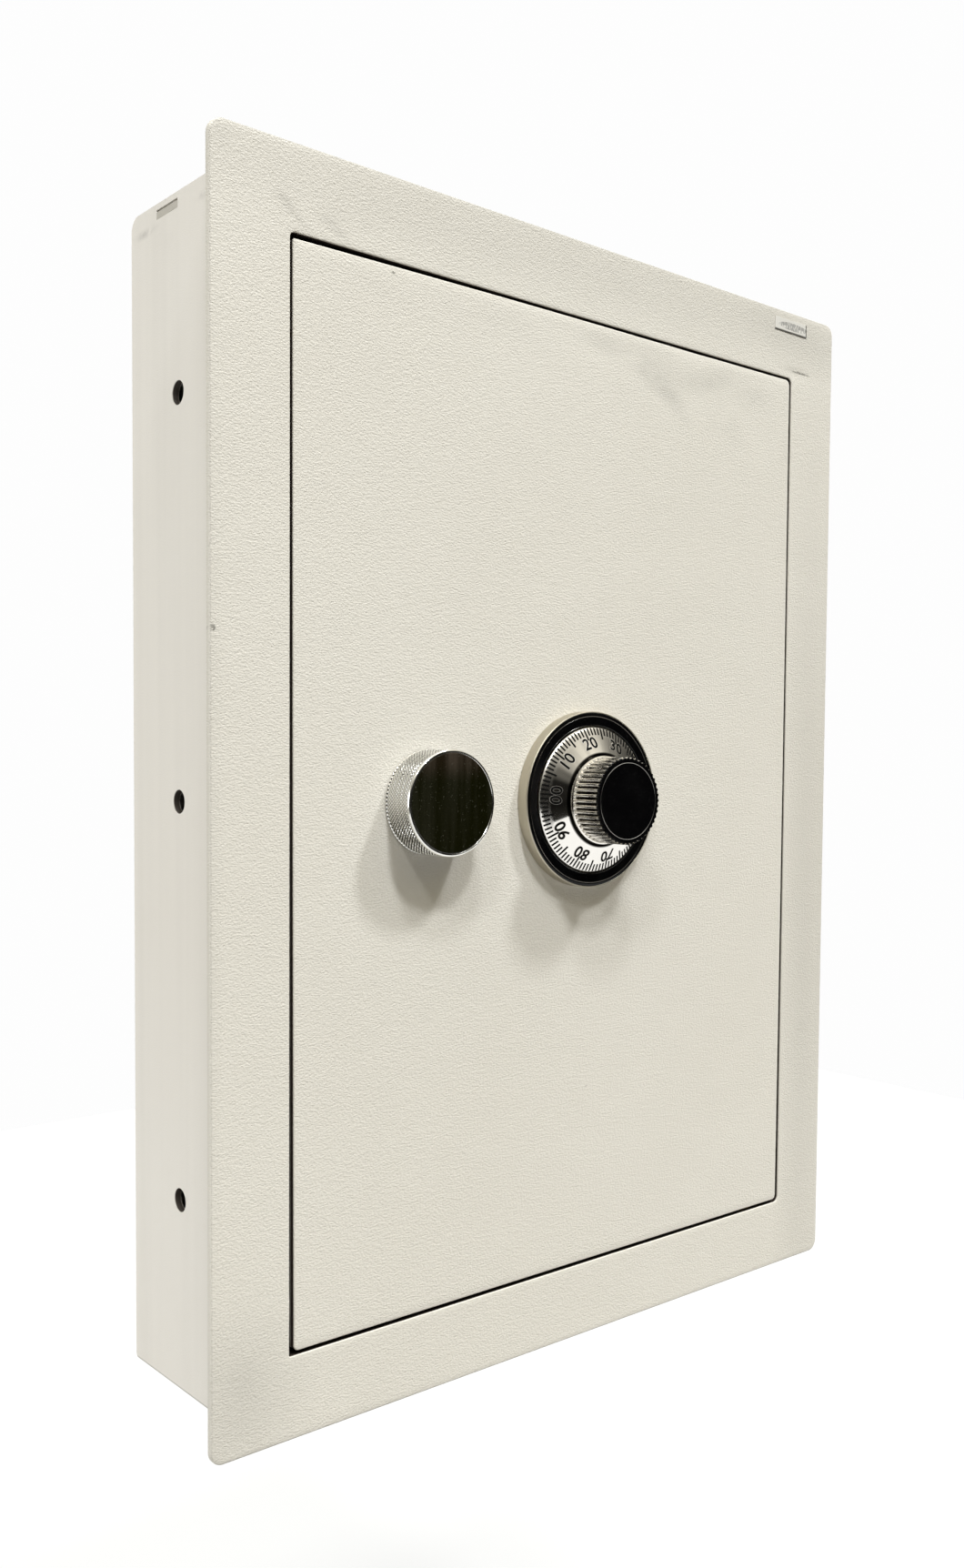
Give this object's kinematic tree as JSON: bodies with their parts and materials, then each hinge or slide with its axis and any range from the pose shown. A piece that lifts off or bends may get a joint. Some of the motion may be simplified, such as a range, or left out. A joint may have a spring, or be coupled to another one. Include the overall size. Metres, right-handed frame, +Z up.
{
  "type": "wall safe",
  "caption": "Shallow steel safe for a stud wall: flush hinged door in a wide front flange, round knurled handle throwing side bolts, and a numbered combination dial.",
  "frame": {"origin": "middle of the front flange's back face, where it meets the wall", "axes": "+X to the right seen from the front, +Y into the wall, +Z up"},
  "size_m": [0.391, 0.1243, 0.534],
  "materials": {
    "front_paint": "off-white textured powder coat, semi-matt",
    "body_paint": "off-white powder coat, smoother than the front",
    "inner_paint": "off-white powder coat, plain",
    "frame_primer": "dark primer on the frame bars behind the gap",
    "label_paper": "small blank adhesive label",
    "plated_steel": "bright zinc-plated steel",
    "fastener_steel": "zinc-plated fasteners",
    "hardened_steel": "hardened plate, dark oxide",
    "brass": "machined brass, satin",
    "zinc_casting": "die-cast lock case, satin",
    "knob_chrome": "knurled chrome-plated handle",
    "knob_mirror": "dark polished face",
    "ring_satin": "satin beige-grey ring side",
    "ring_black": "gloss black ring face",
    "dial_chrome": "satin chrome dial and serrated grip",
    "cap_black": "gloss black cap"
  },
  "bodies": {
    "cabinet": {"front_flange": "front_paint", "left_side_panel": "body_paint", "right_side_panel": "body_paint", "top_panel": "body_paint", "bottom_panel": "body_paint", "back_panel": "body_paint", "jamb_top": "frame_primer", "jamb_bottom": "frame_primer", "jamb_left": "frame_primer", "jamb_right": "frame_primer", "door_stops": "frame_primer", "shelf_upper": "inner_paint", "shelf_lower": "inner_paint", "shelf_brackets": "inner_paint", "label": "label_paper"},
    "door": {"door_plate": "front_paint", "hinge_lugs": "plated_steel", "hinge_pins": "plated_steel", "thrust_washer": "brass", "dead_bar": "plated_steel", "dead_bar_screws": "fastener_steel", "hard_plate": "hardened_steel", "hard_plate_screws": "fastener_steel", "lock_case": "zinc_casting", "lock_cover": "zinc_casting", "lock_screws": "fastener_steel", "spindle_tube": "brass", "wheel_post": "brass", "bolt_guides": "plated_steel", "guide_screws": "fastener_steel", "bar_guide_posts": "plated_steel", "handle_bushing": "brass", "dial_ring_body": "ring_satin", "dial_ring_face": "ring_black", "dial_ring_screws": "fastener_steel"},
    "boltwork": {"bolt_bar": "plated_steel", "locking_bolts": "plated_steel", "bolt_nuts": "plated_steel"},
    "handle": {"knob_body": "knob_chrome", "knob_face": "knob_mirror", "knob_set_screw": "fastener_steel", "handle_spindle": "plated_steel", "spindle_clip": "fastener_steel", "drive_crank": "plated_steel", "crank_pin": "plated_steel"},
    "dial": {"dial_plate": "dial_chrome", "dial_knob": "dial_chrome", "dial_cap": "cap_black", "dial_spindle": "brass", "drive_cam": "brass", "cam_key": "fastener_steel"},
    "wheel_1": {"wheel_1": "brass"},
    "wheel_2": {"wheel_2": "brass"},
    "wheel_3": {"wheel_3": "brass"},
    "lock_slide": {"lock_bolt": "brass", "bolt_tongue": "fastener_steel", "fence_lever": "fastener_steel", "lever_screw": "fastener_steel"}
  },
  "joints": [
    {"name": "door_swing", "type": "hinge", "parent": "cabinet", "child": "door", "pos_m": [0.1373, 0.006, 0], "axis": [0, 0, 1], "range_deg": [0, 110]},
    {"name": "handle_turn", "type": "hinge", "parent": "door", "child": "handle", "pos_m": [-0.0888, 0, 0], "axis": [0, -1, 0], "range_deg": [0, 60]},
    {"name": "bolt_throw", "type": "slide", "parent": "door", "child": "boltwork", "axis": [-1, 0, 0], "range_m": [0, 0.016]},
    {"name": "dial_turn", "type": "hinge", "parent": "door", "child": "dial", "pos_m": [0.0056, 0, 0], "axis": [0, -1, 0], "continuous": true},
    {"name": "wheel_1_turn", "type": "hinge", "parent": "door", "child": "wheel_1", "pos_m": [0.0056, 0.0125, 0], "axis": [0, -1, 0], "continuous": true},
    {"name": "wheel_2_turn", "type": "hinge", "parent": "door", "child": "wheel_2", "pos_m": [0.0056, 0.0185, 0], "axis": [0, -1, 0], "continuous": true},
    {"name": "wheel_3_turn", "type": "hinge", "parent": "door", "child": "wheel_3", "pos_m": [0.0056, 0.0245, 0], "axis": [0, -1, 0], "continuous": true},
    {"name": "lock_bolt_slide", "type": "slide", "parent": "door", "child": "lock_slide", "axis": [0, 0, 1], "range_m": [0, 0.008]}
  ],
  "couplings": [
    {"joint": "handle_turn", "follows": "bolt_throw", "rad_per_m": 65.45}
  ]
}
